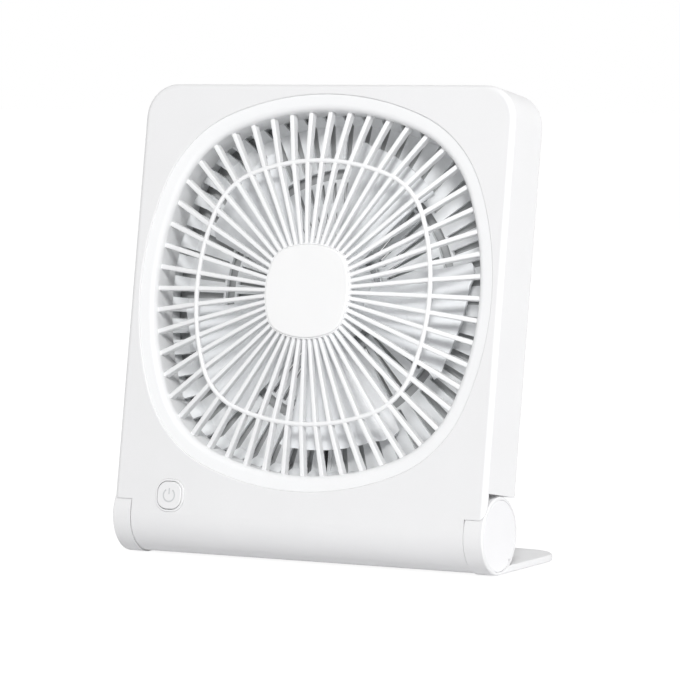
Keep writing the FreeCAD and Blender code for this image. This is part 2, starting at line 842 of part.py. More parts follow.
def blade_section(reach, chord, pitch, lead):
    """A thin cambered section across the blade, drawn at a distance from the middle."""
    angle = math.radians(pitch)
    middle_y = (blade_front + blade_back) / 2

    def place(along, rise):
        return vec(reach, middle_y + along * math.sin(angle) - rise * math.cos(angle),
                   lead + along * math.cos(angle) + rise * math.sin(angle))

    half = chord / 2
    top, low = blade_camber + blade_thickness / 2, blade_camber - blade_thickness / 2
    start = place(-half, blade_thickness / 2)
    face = closed_face(
        start,
        (place(0, top), place(half, blade_thickness / 2)),
        place(half, -blade_thickness / 2),
        (place(0, low), place(-half, -blade_thickness / 2)),
        start)
    return face.OuterWire


def blade_outline():
    """The blade seen from the front: a broad swept paddle with round tip corners."""
    tip = blade_tip
    half = blade_chord_tip / 2
    lead = 6.0
    low, high = lead - half, lead + half
    inset = blade_corner
    edge_x = math.sqrt(tip ** 2 - (half - inset + lead) ** 2)
    low_x = math.sqrt(tip ** 2 - (half - inset - lead) ** 2)
    return closed_face(
        vec(impeller_hub - 3, 0, -11),
        (vec(impeller_hub + 18, 0, -19), vec(low_x - inset, 0, low)),
        (vec(low_x - 0.25 * inset, 0, low + 0.25 * inset), vec(low_x, 0, low + inset)),
        (vec(tip, 0, 0), vec(edge_x, 0, high - inset)),
        (vec(edge_x - 0.3 * inset, 0, high - 0.2 * inset), vec(edge_x - 1.3 * inset, 0, high)),
        (vec(impeller_hub + 14, 0, 25), vec(impeller_hub - 3, 0, 11)))


def impeller():
    sheet = Part.makeLoft([
        blade_section(impeller_hub - 8, blade_chord_hub + 10, 34, 0),
        blade_section((impeller_hub + blade_tip) / 2, (blade_chord_hub + blade_chord_tip) / 2 + 14, 18, 3),
        blade_section(blade_tip + 6, blade_chord_tip + 16, 11, 6)], True, False)
    outline = blade_outline()
    outline.translate(vec(0, blade_front, 0))
    blade = sheet.common(outline.extrude(vec(0, blade_back - blade_front, 0)))
    blades = []
    for index in range(blade_count):
        copy = blade.copy()
        copy.rotate(vec(0, 0, 0), Y, index * 360.0 / blade_count + 14)
        copy.translate(vec(0, 0, grille_height))
        blades.append(copy)
    hub = rod(impeller_hub, on_axis(impeller_front), on_axis(blade_back - 1))
    hub = rounded(hub, 3.0, lambda p: abs(p.y - impeller_front) < 0.01)
    whole = joined([hub] + blades)
    room = rod(impeller_hub - impeller_wall, on_axis(impeller_front + impeller_wall), on_axis(far))
    bore = rod(shaft_radius, on_axis(impeller_front - 1), on_axis(0))
    return largest(whole.cut(room).cut(bore))


# Power button

def button_opening():
    half_x = button_width / 2 + button_gap + button_ring_width + seat_gap
    half_z = button_tall / 2 + button_gap + button_ring_width + seat_gap
    corner = button_corner + button_gap + button_ring_width + seat_gap
    face = arc_face(half_x, half_z, corner, board_x, front - 5, button_height)
    return face.extrude(vec(0, 5 + button_ring_depth + 0.2, 0))


def button_ring():
    y0 = front - button_ring_proud
    grown = button_gap + button_ring_width
    outer = arc_face(button_width / 2 + grown, button_tall / 2 + grown, button_corner + grown,
                     board_x, y0, button_height).extrude(vec(0, button_ring_proud + button_ring_depth, 0))
    outer = rounded(outer, 0.45, lambda p: abs(p.y - y0) < 0.01)
    inner = arc_face(button_width / 2 + button_gap, button_tall / 2 + button_gap,
                     button_corner + button_gap, board_x, y0 - 1, button_height)
    return outer.cut(inner.extrude(vec(0, 20, 0)))


def power_button():
    y0 = front - button_proud
    cap = arc_face(button_width / 2, button_tall / 2, button_corner, board_x, y0, button_height)
    cap = cap.extrude(vec(0, button_thickness, 0))
    cap = rounded(cap, 0.7, lambda p: abs(p.y - y0) < 0.01)
    stem_end = board_y - switch_height - 1.0
    stem = rod_y(button_stem, board_x, button_height, y0 + button_thickness - 0.2, stem_end)
    return cap.fuse(stem).removeSplitter()


def tact_switch():
    half = switch_size / 2
    y0 = board_y - switch_height
    body = box(board_x - half, board_x + half, y0, board_y, button_height - half, button_height + half)
    return body.cut(rod_y(plunger_radius + 2 * running_gap, board_x, button_height, y0 - 1, board_y - 1))


def switch_plunger():
    y0 = board_y - switch_height - 1.0
    return rod_y(plunger_radius, board_x, button_height, y0, board_y - 1.2 - button_travel)


def control_board():
    board = box(board_x - board_width / 2 + 5, board_x + board_width / 2, board_y, board_y + board_thickness,
                board_z - board_tall / 2, board_z + board_tall / 2)
    left = board_x - board_width / 2
    tab = box(left, left + 6, board_y, board_y + board_thickness, board_z, board_z + board_tall / 2)
    board = board.fuse(tab).removeSplitter()
    chips = [box(board_x + 3, board_x + 9, board_y + board_thickness, board_y + board_thickness + 1.4,
                 board_z, board_z + 6),
             box(board_x - 6, board_x - 1, board_y + board_thickness, board_y + board_thickness + 2.2,
                 board_z + 1, board_z + 5)]
    holes = [rod_y(board_screw_radius + running_gap, x, z, board_y - 1, board_y + 5)
             for x, z in board_screw_places()]
    return largest(joined([board] + chips).cut(joined(holes)))


def board_screws():
    screws = []
    for x, z in board_screw_places():
        y0 = board_y + board_thickness
        shank = rod_y(board_screw_radius, x, z, board_y - 4.5, y0)
        head = rod_y(board_screw_radius * 1.8, x, z, y0, y0 + 1.3)
        screws.append(shank.fuse(head).cut(cross_recess(x, z, y0 + 1.3, board_screw_radius, -0.6)))
    return screws


# Battery

def cell_axis(x):
    return vec(x, 0, -cell_drop)


def battery_cell(side):
    start = side * cell_gap / 2
    end = side * (cell_gap / 2 + cell_length - 1.2)
    can = rod(cell_radius, cell_axis(start), cell_axis(end))
    can = rounded(can, 0.8, lambda p: abs(abs(p.x) - abs(end)) < 0.01)
    button = rod(2.8, cell_axis(end - side * 0.2), cell_axis(side * (cell_gap / 2 + cell_length)))
    return can.fuse(button)


def battery_cradle():
    """A trough under the two cells with a wall at each end."""
    half = cell_gap / 2 + cell_length + 0.4
    inner = cell_radius + seat_gap
    outer = inner + cradle_wall
    trough = tube(outer, inner, cell_axis(-half), cell_axis(half))
    trough = trough.common(box(-far, far, -far, far, -far, 1.5))
    ends = []
    for side in (-1, 1):
        wall_disc = rod(outer, cell_axis(side * half), cell_axis(side * (half + cradle_wall)))
        ends.append(wall_disc)
    floor = -math.sqrt((barrel_radius - wall) ** 2 - 16)
    feet = [box(side * 40 - 3, side * 40 + 3, -4, 4, floor, -cell_drop - inner - 0.4)
            for side in (-1, 1)]
    return joined([trough] + ends + feet)


# Charging socket

def socket_opening():
    face = arc_face_x(socket_width / 2 + socket_gap, socket_tall / 2 + socket_gap, socket_x - 5)
    return face.extrude(vec(5 + wall + socket_length, 0, 0))


def arc_face_x(half_z, half_y, x):
    """A slot shape with round ends, facing along X."""
    z0, z1 = socket_height - half_z + half_y, socket_height + half_z - half_y
    return closed_face(
        vec(x, socket_y - half_y, z0),
        vec(x, socket_y - half_y, z1),
        (vec(x, socket_y, z1 + half_y), vec(x, socket_y + half_y, z1)),
        vec(x, socket_y + half_y, z0),
        (vec(x, socket_y, z0 - half_y), vec(x, socket_y - half_y, z0)))


def usb_socket():
    x0 = socket_x + socket_recess
    outer = arc_face_x(socket_width / 2, socket_tall / 2, x0).extrude(vec(socket_length, 0, 0))
    room = arc_face_x(socket_width / 2 - socket_wall, socket_tall / 2 - socket_wall, x0 - 1)
    shell = outer.cut(room.extrude(vec(socket_length, 0, 0)))
    half = tongue_thickness / 2
    tongue = box(x0 + 0.8, x0 + socket_length - 0.5, socket_y - half, socket_y + half,
                 socket_height - 3.3, socket_height + 3.3)
    return shell.fuse(tongue).removeSplitter()


def charge_board():
    x0 = socket_x + wall + 0.6
    y0 = charge_board_y
    board = box(x0, x0 + charge_board_length, y0, y0 + 1.2, socket_height - charge_board_width / 2,
                socket_height + charge_board_width / 2)
    chip = box(x0 + 9, x0 + 14, y0 - 1.1, y0, socket_height - 2.5, socket_height + 2.5)
    return board.fuse(chip).removeSplitter()


# Fasteners and leads

def case_screws():
    screws = []
    for x, z in post_places():
        seat = screw_seat(z)
        head = rod_y(screw_head_radius, x, z, seat - screw_head_height, seat)
        shank = rod_y(screw_radius, x, z, seat - screw_length, seat - screw_head_height + 0.01)
        screws.append(head.fuse(shank).cut(cross_recess(x, z, seat, screw_head_radius * 0.6, -0.9)))
    return screws


def lead(points):
    """A round lead along straight runs with a tangent arc at each corner."""
    edges = []
    here = points[0]
    for index in range(1, len(points) - 1):
        corner = points[index]
        inward = (corner - points[index - 1]).normalize()
        onward = (points[index + 1] - corner).normalize()
        turn = inward.getAngle(onward)
        cut = lead_bend * math.tan(turn / 2)
        first, last = corner - inward * cut, corner + onward * cut
        bisector = (onward - inward).normalize()
        middle = corner + bisector * (lead_bend / math.cos(turn / 2) - lead_bend)
        edges.append(Part.makeLine(here, first))
        edges.append(Part.Arc(first, middle, last).toShape())
        here = last
    edges.append(Part.makeLine(here, points[-1]))
    path = Part.Wire(edges)
    circle = Part.makeCircle(lead_radius, points[0], (points[1] - points[0]))
    return path.makePipeShell([Part.Wire([circle])], True, False)


def motor_lead():
    y = rear_disc_front - channel_groove / 2
    run_z = barrel_radius - wall - 3.2
    board_back = board_y + board_thickness
    return lead([vec(0, y, grille_height - lead_inner - 0.3),
                 vec(0, y, run_z),
                 vec(board_x + 12, y, run_z),
                 vec(board_x + 12, board_back + 0.1, run_z)])


def battery_lead():
    start = -(cell_gap / 2 + cell_length + 0.4 + cradle_wall)
    board_back = board_y + board_thickness
    return lead([vec(start, 2, 4), vec(start - 4.6, 2, 4),
                 vec(start - 4.6, board_back + 0.1, 4 + 0.6)])


def charge_lead():
    x0 = socket_x + wall + 0.6 + charge_board_length
    y0 = charge_board_y + 0.6
    board_top = board_z + board_tall / 2
    return lead([vec(x0, y0, socket_height), vec(x0 + 6, y0, socket_height),
                 vec(x0 + 6, y0, board_top - 4.2), vec(x0 + 6, board_y + board_thickness + 0.1, board_top - 4.2)])


# Stand

def stand_frame():
    half = body_half
    corner = plate_corner
    slant = corner * (1 - math.sqrt(0.5))
    z0, z1 = -ear_radius, plate_thickness - ear_radius
    face = closed_face(
        vec(-half, 0, z0),
        vec(half, 0, z0),
        vec(half, plate_reach - corner, z0),
        (vec(half - slant, plate_reach - slant, z0), vec(half - corner, plate_reach, z0)),
        vec(-half + corner, plate_reach, z0),
        (vec(-half + slant, plate_reach - slant, z0), vec(-half, plate_reach - corner, z0)),
        vec(-half, 0, z0))
    plate = face.extrude(vec(0, 0, z1 - z0))
    plate = rounded(plate, plate_edge,
                    lambda p: p.y > 1 and (abs(p.z - z0) < 0.01 or abs(p.z - z1) < 0.01))
    between = half - ear_width
    plate = plate.cut(box(-between, between, -1, plate_lip, z0 - 1, z1 + 1))
    clear = barrel_radius + ear_gap
    plate = plate.cut(rod(clear, vec(-between, 0, 0), vec(between, 0, 0)))
    pieces = [plate]
    for side in (-1, 1):
        ear = rod(ear_radius, vec(side * between, 0, 0), vec(side * half, 0, 0))
        pieces.append(rounded(ear, ear_edge, lambda p: abs(abs(p.x) - half) < 0.01))
    frame = joined(pieces)
    cuts = []
    for side in (-1, 1):
        seat = half - cap_thickness - 0.1
        cuts.append(rod(cap_radius + seat_gap, vec(side * seat, 0, 0), vec(side * far, 0, 0)))
        flange_seat = seat - hinge_screw_head_height - pin_flange - 0.2
        cuts.append(rod(pin_flange_radius + seat_gap, vec(side * flange_seat, 0, 0), vec(side * far, 0, 0)))
        cuts.append(rod(pin_radius + running_gap, vec(side * (between - 1), 0, 0), vec(side * half, 0, 0)))
    for x, y in pad_places():
        cuts.append(rod(pad_radius + seat_gap, vec(x, y, z0 - 1), vec(x, y, z0 + pad_thickness - pad_proud)))
    for x0, x1, y0, y1 in front_pad_boxes(seat_gap):
        cuts.append(box(x0, x1, y0, y1, z0 - 1, z0 + pad_thickness - pad_proud))
    return largest(frame.cut(joined(cuts)))


def pad_places():
    return [(side * (body_half - pad_inset), plate_reach - pad_inset) for side in (-1, 1)]


def front_pad_boxes(extra=0.0):
    """Strips under the front of the plate, just behind the barrel."""
    boxes = []
    for side in (-1, 1):
        middle = side * (body_half - pad_inset - front_pad_length / 2)
        y = plate_lip + front_pad_back
        boxes.append((middle - front_pad_length / 2 - extra, middle + front_pad_length / 2 + extra,
                      y - front_pad_width / 2 - extra, y + front_pad_width / 2 + extra))
    return boxes


def foot_pads():
    z0 = -ear_radius - pad_proud
    z1 = z0 + pad_thickness
    pads = []
    for x, y in pad_places():
        pads.append(rounded(rod(pad_radius, vec(x, y, z0), vec(x, y, z1)), 0.3,
                            lambda p: abs(p.z - z0) < 0.01))
    for x0, x1, y0, y1 in front_pad_boxes():
        pads.append(box(x0, x1, y0, y1, z0, z1))
    return pads


def ear_cap(side):
    outer = side * body_half
    inner = side * (body_half - cap_thickness)
    cap = rod(cap_radius, vec(inner, 0, 0), vec(outer, 0, 0))
    cap = rounded(cap, cap_edge, lambda p: abs(abs(p.x) - body_half) < 0.01)
    angle = math.radians(-52)
    reach = cap_radius - nick_width / 2
    y, z = reach * math.cos(angle), reach * math.sin(angle)
    nick = box(-3, 3, y - nick_width / 2, y + nick_width / 2, z - nick_width, z + nick_width)
    nick.translate(vec(outer, 0, 0))
    return cap.cut(nick)


def pin_seat():
    """Inner face of the pin's flange, from the middle of the object."""
    return body_half - cap_thickness - 0.1 - hinge_screw_head_height - pin_flange - 0.2


def hinge_pin(side):
    seat = pin_seat()
    pin = rod(pin_radius, vec(side * (barrel_half - pin_length), 0, 0), vec(side * (seat + 0.5), 0, 0))
    flange = rod(pin_flange_radius, vec(side * seat, 0, 0), vec(side * (seat + pin_flange), 0, 0))
    pin = pin.fuse(flange).removeSplitter()
    holes = [rod(hinge_screw_radius + running_gap, vec(side * (seat - 9), y, 0), vec(side * far, y, 0))
             for y in (-6.5, 6.5)]
    return pin.cut(holes[0]).cut(holes[1])


def hinge_bush(side):
    inner = pin_radius + running_gap
    return tube(inner + bush_wall - running_gap / 2, inner, vec(side * barrel_half, 0, 0),
                vec(side * (barrel_half - bush_length + 0.3), 0, 0))


def hinge_screws():
    """Two screws for each pin, through its flange into the ear."""
    screws = []
    seat = pin_seat() + pin_flange
    depth = min(hinge_screw_length, pin_seat() - (body_half - ear_width) - 1.0 + pin_flange)
    for side in (-1, 1):
        for y in (-6.5, 6.5):
            shank = rod(hinge_screw_radius, vec(side * (seat - depth), y, 0), vec(side * seat, y, 0))
            head = rod(hinge_screw_head * 0.82, vec(side * seat, y, 0),
                       vec(side * (seat + hinge_screw_head_height), y, 0))
            screws.append(shank.fuse(head))
    return screws


def screw_holes_in_ears(frame):
    seat = pin_seat() + pin_flange
    depth = min(hinge_screw_length, pin_seat() - (body_half - ear_width) - 1.0 + pin_flange)
    for side in (-1, 1):
        for y in (-6.5, 6.5):
            frame = frame.cut(rod(hinge_screw_radius + running_gap, vec(side * (seat - depth - 0.2), y, 0),
                                  vec(side * (seat + 3), y, 0)))
    return largest(frame)


# Assembly

def stand_pieces():
    return {
        "stand_frame": screw_holes_in_ears(stand_frame()),
        "foot_pads": foot_pads(),
        "ear_cap_left": ear_cap(-1),
        "ear_cap_right": ear_cap(1),
        "hinge_pin_left": hinge_pin(-1),
        "hinge_pin_right": hinge_pin(1),
        "hinge_screws": hinge_screws(),
    }


def body_pieces():
    tube_back = bracket_front
    return {
        "front_shell": front_shell(),
        "rear_shell": rear_shell(),
        "front_grille": front_grille(),
        "hub_badge": hub_badge(),
        "rear_grille": rear_grille(),
        "hinge_bush_left": hinge_bush(-1),
        "hinge_bush_right": hinge_bush(1),
        "case_screws": case_screws(),
        "motor_bracket": motor_bracket(),
        "motor_screws": motor_screws(),
        "motor_board": motor_board(),
        "stator_core": stator_core(),
        "stator_coils": stator_coils(),
        "front_bearing": bearing(tube_front + 0.5),
        "rear_bearing": bearing(tube_back - bearing_width - 0.3),
        "rotor_cup": rotor_cup(),
        "magnet_ring": magnet_ring(),
        "motor_shaft": motor_shaft(),
        "impeller": impeller(),
        "impeller_nut": impeller_nut(),
        "button_ring": button_ring(),
        "power_button": power_button(),
        "switch_plunger": switch_plunger(),
        "tact_switch": tact_switch(),
        "control_board": control_board(),
        "board_screws": board_screws(),
        "battery_cell_left": battery_cell(-1),
        "battery_cell_right": battery_cell(1),
        "battery_cradle": battery_cradle(),
        "usb_socket": usb_socket(),
        "charge_board": charge_board(),
        "motor_lead": motor_lead(),
        "battery_lead": battery_lead(),
        "charge_lead": charge_lead(),
    }


def write(name, shape, leaned):
    solids = shape if isinstance(shape, list) else [shape]
    whole = Part.makeCompound(solids) if len(solids) > 1 else solids[0]
    if leaned:
        whole.rotate(vec(0, 0, 0), X, -lean)
    whole.translate(hinge_place)
    if not whole.isValid():
        print("not valid:", name)
    whole.exportStep("parts/%s.step" % name)
    bounds = whole.BoundBox
    print("%-20s solids %2d  volume %9.1f  x %.1f..%.1f  y %.1f..%.1f  z %.1f..%.1f" % (
        name, len(whole.Solids), whole.Volume, bounds.XMin, bounds.XMax,
        bounds.YMin, bounds.YMax, bounds.ZMin, bounds.ZMax))


os.makedirs("parts", exist_ok=True)
for node, form in stand_pieces().items():
    write(node, form, False)
for node, form in body_pieces().items():
    write(node, form, True)
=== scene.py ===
import json
import math
import bpy
from mathutils import Matrix, Vector


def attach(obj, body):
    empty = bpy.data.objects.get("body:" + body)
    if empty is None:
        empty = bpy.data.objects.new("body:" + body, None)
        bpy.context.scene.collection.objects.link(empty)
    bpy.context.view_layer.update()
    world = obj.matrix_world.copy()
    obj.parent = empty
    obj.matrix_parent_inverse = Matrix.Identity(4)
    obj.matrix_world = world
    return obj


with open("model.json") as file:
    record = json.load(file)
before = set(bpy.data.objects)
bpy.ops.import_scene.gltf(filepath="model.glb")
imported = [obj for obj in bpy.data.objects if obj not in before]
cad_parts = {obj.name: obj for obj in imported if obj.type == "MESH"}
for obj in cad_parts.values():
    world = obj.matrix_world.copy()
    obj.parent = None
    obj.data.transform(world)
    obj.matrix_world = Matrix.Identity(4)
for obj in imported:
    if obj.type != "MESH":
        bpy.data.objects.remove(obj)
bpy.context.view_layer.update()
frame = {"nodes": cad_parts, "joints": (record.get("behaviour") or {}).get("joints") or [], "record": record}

bl_info = {
    "name": "Folding Table Fan",
    "version": (1, 0, 0),
    "blender": (4, 5, 0),
    "location": "View3D > Sidebar > Table Fan",
    "description": "Finishes, power mark and studio for a folding table fan",
    "category": "Object",
}

joints = {joint["name"]: joint for joint in frame["joints"]}
hinge_place = Vector(joints["body_fold"]["pos_m"])
motor_place = Vector(joints["fan_spin"]["pos_m"])
inward = Vector(joints["fan_spin"]["axis"])
lean = math.atan2(-inward.z, inward.y)
# The fan's body stands upright in its own frame, about the hinge axis.
body_place = Matrix.Translation(hinge_place) @ Matrix.Rotation(-lean, 4, "X")
# These turn a pattern onto the upright frame, and its Z axis onto the motor's axis and the hinge's.
upright_turn = (-lean, 0.0, 0.0)
motor_turn = (-lean - math.pi / 2, 0.0, 0.0)
hinge_turn = (0.0, math.pi / 2, 0.0)

MM = 0.001
# Nearly all of a noise lies between these two values.
NOISE_LOW, NOISE_HIGH = 0.3, 0.7
# A Wave node of scale 1 runs through this many radians in a unit of length.
WAVE_RATE = 20
# Places of the Mix node's colour sockets.
MIX_FIRST, MIX_SECOND, MIX_RESULT = 6, 7, 2
WHITE = (1.0, 1.0, 1.0, 1.0)


def colour(name, description, value):
    return bpy.props.FloatVectorProperty(
        name=name, description=description, default=value, subtype="COLOR", size=3, min=0, max=1)


def length(name, description, value):
    return bpy.props.FloatProperty(
        name=name, description=description, default=value, unit="LENGTH", subtype="DISTANCE", min=0)


def place(name, description, value):
    return bpy.props.FloatVectorProperty(
        name=name, description=description, default=value, subtype="XYZ", unit="LENGTH", size=3)


def amount(name, description, value, most=1.0):
    return bpy.props.FloatProperty(
        name=name, description=description, default=value, min=0, max=most)


class FanColours(bpy.types.PropertyGroup):
    """Colours of the fan's mouldings and rubber."""

    case: colour("Case", "White of the two body shells and the stand", (0.83, 0.83, 0.835))
    grille: colour("Grille", "White of the front grille", (0.90, 0.905, 0.91))
    badge: colour("Badge", "White of the cover over the hub", (0.905, 0.905, 0.905))
    cap: colour("Ear cap", "White of the discs that close the ears", (0.86, 0.86, 0.87))
    rear: colour("Rear grille", "Cool white of the rear grille", (0.94, 0.955, 0.965))
    blade: colour("Blades", "Pale grey-white of the impeller", (0.86, 0.875, 0.89))
    button: colour("Button", "White of the power button and its ring", (0.84, 0.84, 0.845))
    mark: colour("Mark", "Grey of the power mark", (0.60, 0.61, 0.62))
    pad: colour("Pads", "Grey of the rubber feet", (0.085, 0.085, 0.09))


class FanWorks(bpy.types.PropertyGroup):
    """Colours of the bushes, the metal pieces and the works inside the casing."""

    bush: colour("Bushes", "Natural acetal of the hinge bushes and the nut", (0.76, 0.73, 0.64))
    bracket: colour("Brackets", "Grey of the motor bracket and the cell cradle", (0.55, 0.56, 0.58))
    pin: colour("Pins", "Bright steel of the hinge pins", (0.62, 0.62, 0.64))
    steel: colour("Steel", "Bright steel of the motor and the socket", (0.66, 0.66, 0.67))
    screw: colour("Screws", "Zinc plate of the screws", (0.55, 0.55, 0.58))
    core: colour("Core", "Iron of the stator's sheets", (0.30, 0.30, 0.32))
    copper: colour("Coils", "Enamelled copper of the coils", (0.72, 0.33, 0.16))
    magnet: colour("Magnet", "Dark grey of the magnet ring", (0.045, 0.045, 0.05))
    board: colour("Boards", "Green of the boards' solder mask", (0.012, 0.11, 0.04))
    tin: colour("Tin", "Grey of the boards' tinned pads", (0.62, 0.63, 0.64))
    switch: colour("Switch", "Black of the switch and its plunger", (0.02, 0.02, 0.022))
    cell: colour("Cells", "Blue of the cells' shrink sleeve", (0.03, 0.16, 0.42))
    lead: colour("Leads", "Black of the leads' insulation", (0.018, 0.018, 0.02))


class FanFinish(bpy.types.PropertyGroup):
    """Surface of the mouldings, and the painted shade that darkens them inside the air way."""

    grain: length("Grain", "Width of one grain of a moulding's texture", 0.35 * MM)
    grain_depth: length("Grain depth", "Depth of the texture on the case", 0.006 * MM)
    button_depth: length("Button depth", "Depth of the texture on the button", 0.003 * MM)
    smooth_depth: length("Smooth depth", "Depth of the texture on smooth mouldings", 0.002 * MM)
    case_roughness: amount("Case roughness", "Roughness of the case and rear grille", 0.46)
    grille_roughness: amount("Grille roughness", "Roughness of the smooth front pieces", 0.34)
    blade_roughness: amount("Blade roughness", "Roughness of the impeller", 0.30)
    bush_roughness: amount("Bush roughness", "Roughness of the bushes and the nut", 0.38)
    bracket_roughness: amount("Bracket roughness", "Roughness of the brackets", 0.50)
    mark_roughness: amount("Mark roughness", "Roughness of the power mark", 0.50)
    mark_grain: length("Mark grain", "Width of one grain of the mark's texture", 0.2 * MM)
    mark_depth: length("Mark depth", "Depth of the mark's texture", 0.004 * MM)
    # Painted shade: the wall tone darkens the front grille's wall towards its deep end, where shade falls.
    wall_painted_shade: amount("Wall tone", "Tone of the front grille's wall at its deep end", 0.75)
    wall_fade: length("Wall fade", "Length of wall along which the wall tone comes in", 10 * MM)
    # Painted shade: the inner tone darkens the rear grille's inner walls where shade falls between its two
    # layers; the plastic there is as white as the rest, and the face settings bring the white back on the
    # back face.
    inner_painted_shade: amount("Inner tone", "Tone of the rear grille's unpolished inner walls", 0.50)
    inner_start: length("Inner start", "How far from the back the inner tone sets in", 3.4 * MM)
    inner_full: length("Inner full", "How far from the back the inner tone is full", 2.9 * MM)
    face_start: length("Face start", "How far from the back the white comes back", 0.4 * MM)
    face_full: length("Face full", "How far from the back the white is full again", 0.1 * MM)


class FanMark(bpy.types.PropertyGroup):
    """Sizes of the power mark on the button."""

    radius: length("Radius", "Middle of the mark's stroke to its centre", 3.3 * MM)
    stroke: length("Stroke", "Width of the mark's line", 0.8 * MM)
    proud: length("Proud", "Height of the mark over the button", 0.06 * MM)
    bar: length("Bar", "Length of the mark's upright bar", 3.2 * MM)
    opening: bpy.props.FloatProperty(
        name="Opening", description="Angle that is left open at the top",
        default=math.radians(70), subtype="ANGLE", min=0.2, max=3)


class FanStudio(bpy.types.PropertyGroup):
    """Camera, lamps, surroundings and floor."""

    camera: place("Camera", "Where the camera stands", (0.94435, -1.73625, 0.25745))
    aim: place("Aim", "Point that the camera looks at", (0.01679, -0.0291, 0.11540))
    lens: bpy.props.FloatProperty(
        name="Lens", description="Focal length", default=202.8, unit="CAMERA")
    sensor: bpy.props.FloatProperty(
        name="Sensor", description="Width of the camera's frame", default=36.0, unit="CAMERA")
    lamp_aim: place("Lamp aim", "Point that both lamps face", (0.0, -0.03, 0.12))
    key: amount("Key", "Power of the high lamp in front at the right, in watts", 111.0, 500.0)
    key_place: place("Key place", "Where the key lamp hangs", (1.59, -3.0, 2.24))
    key_size: length("Key size", "Width of the key lamp", 1.0)
    side: amount("Side", "Power of the lamp at the right, in watts", 30.0, 500.0)
    side_place: place("Side place", "Where the side lamp hangs", (2.97, 0.16, 0.54))
    side_size: length("Side size", "Width of the side lamp", 0.9)
    sky: amount("Sky", "Level of the even light from all round", 0.32)
    floor_size: length("Floor size", "Width of the floor", 30.0)
    floor_bounce: colour("Floor bounce", "Floor as it lights the fan", (0.80, 0.80, 0.81))
    floor_shaded: colour("Floor shaded", "Part of the seen floor that takes a shadow", (0.30,) * 3)
    floor_glow: amount("Floor glow", "Even part of the seen floor's level", 0.92)


class Finish:
    """A material being made: its node tree, its shader and the coordinates of its patterns."""

    def __init__(self, name, roughness, metallic=0.0):
        self.material = bpy.data.materials.new(name)
        self.material.use_nodes = True
        self.tree = self.material.node_tree
        self.tree.nodes.clear()
        self.shader = self.add("BsdfPrincipled")
        self.shader.inputs["Metallic"].default_value = metallic
        self.shader.inputs["Roughness"].default_value = roughness
        output = self.add("OutputMaterial")
        self.link(self.shader.outputs["BSDF"], output.inputs["Surface"])
        self.place = self.add("TexCoord").outputs["Object"]

    def add(self, kind, **settings):
        """Adds a shader node and sets it up."""
        node = self.tree.nodes.new("ShaderNode" + kind)
        for key, value in settings.items():
            setattr(node, key, value)
        return node

    def link(self, source, target):
        self.tree.links.new(source, target)

    def feed(self, node, values):
        """Sets or links a node's inputs by their names."""
        for key, value in values.items():
            if isinstance(value, bpy.types.NodeSocket):
                self.link(value, node.inputs[key])
            else:
                node.inputs[key].default_value = value
        return node

    def noise(self, grain, detail=2.0, vector=None):
        """Soft random pattern whose spots are about one grain wide."""
        node = self.add("TexNoise")
        self.feed(node, {"Vector": vector or self.place, "Scale": 1 / grain, "Detail": detail})
        return node.outputs["Fac"]

    def wave(self, kind, centre, turn, scale, **inputs):
        """Rings about an axis, or bands across it."""
        node = self.add("TexWave", wave_type=kind, **{kind.lower() + "_direction": "Z"})
        self.feed(node, {"Vector": self.turned_place(centre, turn), "Scale": scale,
                         **{key.title(): value for key, value in inputs.items()}})
        return node.outputs["Fac"]

    def spread(self, value, low, high):
        """Stretches the middle of a noise over a range."""
        node = self.add("MapRange")
        self.feed(node, {"Value": value, "From Min": NOISE_LOW, "From Max": NOISE_HIGH,
                         "To Min": low, "To Max": high})
        return node.outputs["Result"]

    def blend(self, share, first, second):
        """Mixes two colours by a pattern."""
        node = self.add("Mix", data_type="RGBA")
        self.link(share, node.inputs["Factor"])
        for index, value in ((MIX_FIRST, first), (MIX_SECOND, second)):
            socket = node.inputs[index]
            if isinstance(value, bpy.types.NodeSocket):
                self.link(value, socket)
            else:
                socket.default_value = (*value, 1.0)
        return node.outputs[MIX_RESULT]

    def turned_place(self, centre, turn):
        """Coordinates about a point of the fan, turned to a piece's own axis."""
        node = self.add("Mapping", vector_type="TEXTURE")
        self.feed(node, {"Vector": self.place, "Location": tuple(centre), "Rotation": turn})
        return node.outputs["Vector"]

    def behind(self, start, end):
        """0 in front of one depth in the upright fan, 1 behind another: the mask of painted shade on deep
        parts.
        """
        parts = self.add("SeparateXYZ")
        self.link(self.turned_place(hinge_place, upright_turn), parts.inputs[0])
        ramp = self.add("MapRange", interpolation_type="SMOOTHSTEP")
        self.feed(ramp, {"Value": parts.outputs["Y"], "From Min": start, "From Max": end})
        return ramp.outputs["Result"]

    def bump(self, height, depth, strength=1.0):
        """Raises the surface by a pattern."""
        node = self.add("Bump")
        self.feed(node, {"Height": height, "Distance": depth, "Strength": strength})
        return node.outputs["Normal"]

    def set(self, **values):
        """Sets the shader's inputs: base_colour, roughness and the like."""
        self.feed(self.shader, {key.replace("_", " ").title().replace("Colour", "Color"): value
                                for key, value in values.items()})
        return self.material


def shade(value, factor):
    """A colour made darker or brighter."""
    return tuple(min(1.0, part * factor) for part in value)


def wave_scale(pitch):
    """Scale at which a Wave node repeats after this pitch."""
    return 1 / (WAVE_RATE * pitch) * math.tau


